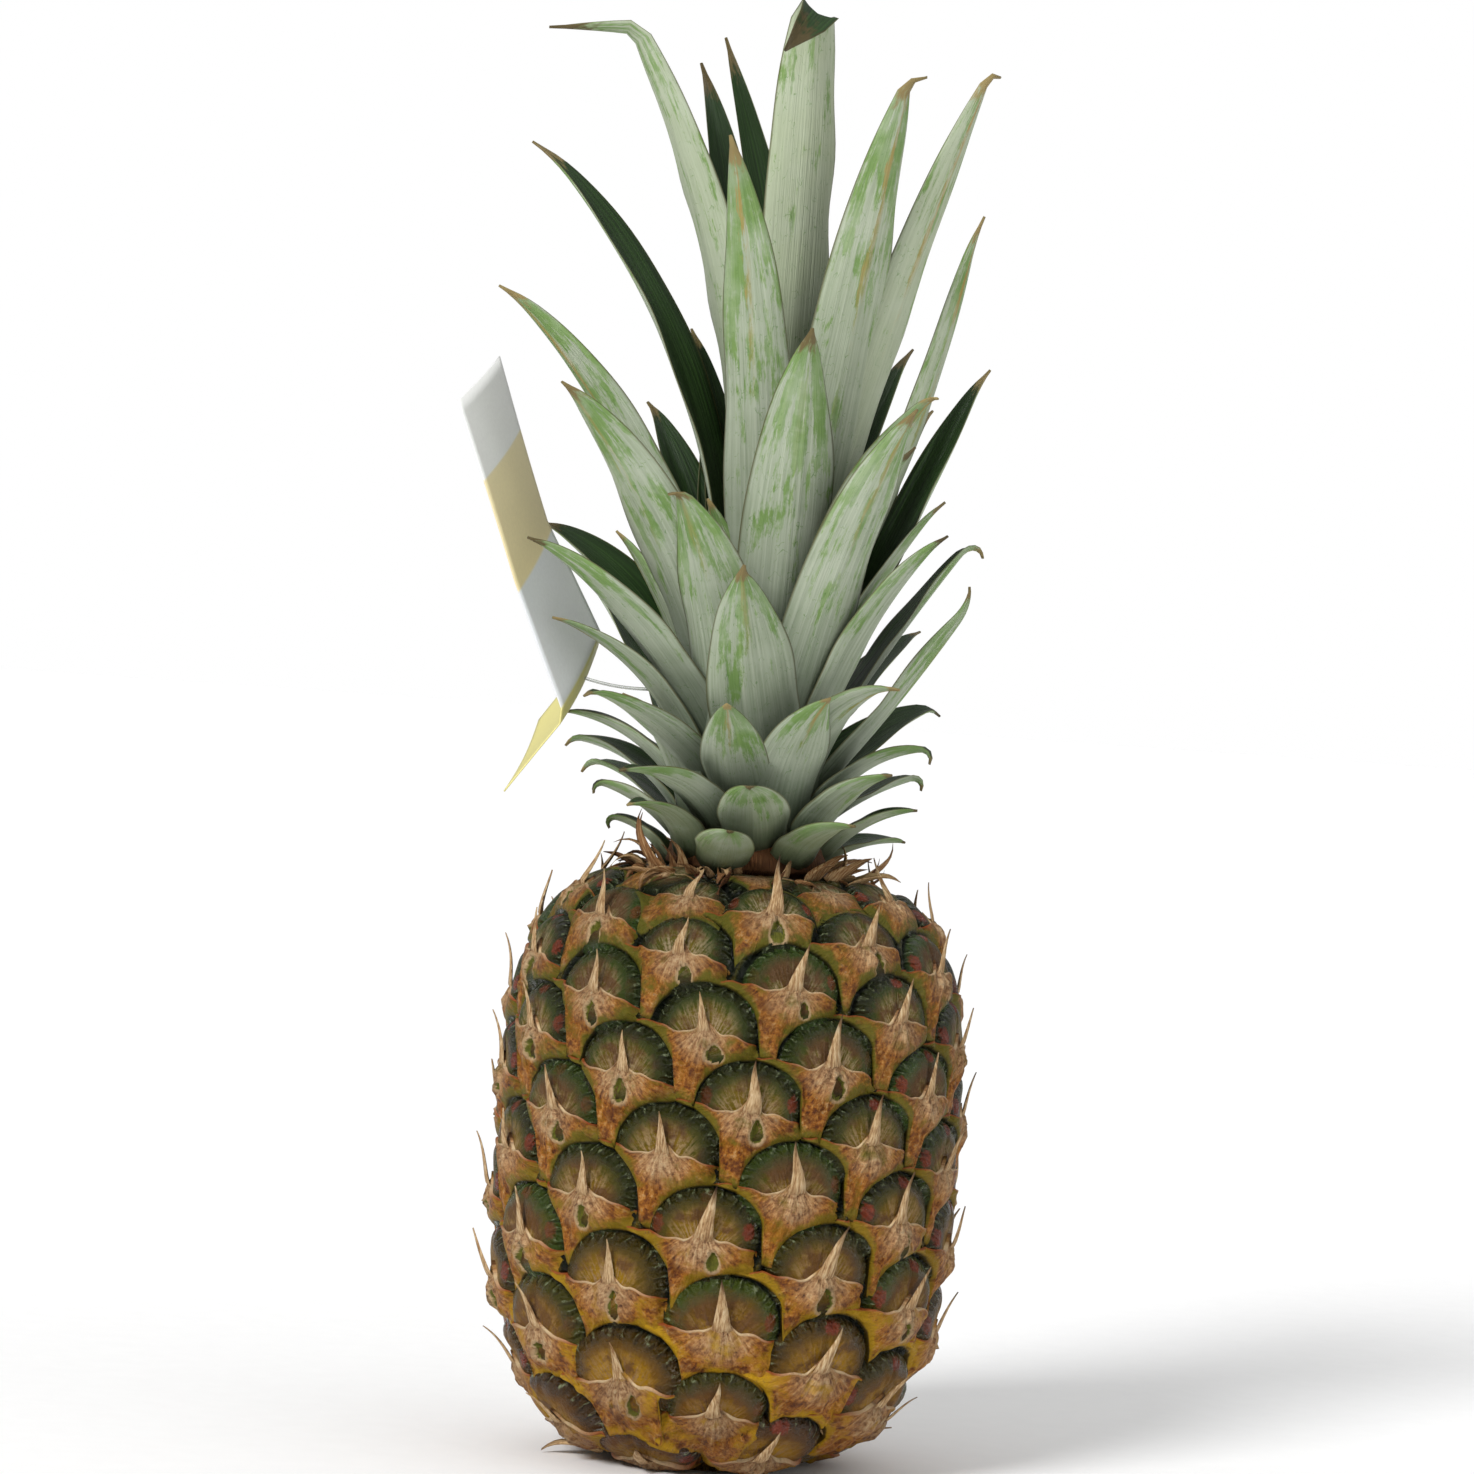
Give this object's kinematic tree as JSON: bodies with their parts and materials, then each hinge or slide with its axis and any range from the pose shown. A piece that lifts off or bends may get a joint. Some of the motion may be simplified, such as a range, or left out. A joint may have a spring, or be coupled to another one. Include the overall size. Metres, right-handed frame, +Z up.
{
  "type": "whole pineapple",
  "caption": "Whole ripe pineapple with an upright leafy crown, standing on its base, with a blank paper tag pinned in its leaves.",
  "frame": {"origin": "middle of the flat spot under the fruit that it rests on", "axes": "+Z up along the axis of the fruit and the crown, +X to the right and -Y towards the viewer of the front"},
  "size_m": [0.1483, 0.1304, 0.3802],
  "materials": {
    "rind": "waxy green-brown rind with dry tan bracts",
    "leaf": "matt grey-green bloom, darker green where it is rubbed",
    "tag_paper": "smooth coated card",
    "clear_plastic": "clear, slightly milky"
  },
  "bodies": {
    "root": {"fruit": "rind", "crown": "leaf", "hang_tag": "tag_paper", "tag_pin": "clear_plastic"}
  },
  "joints": []
}
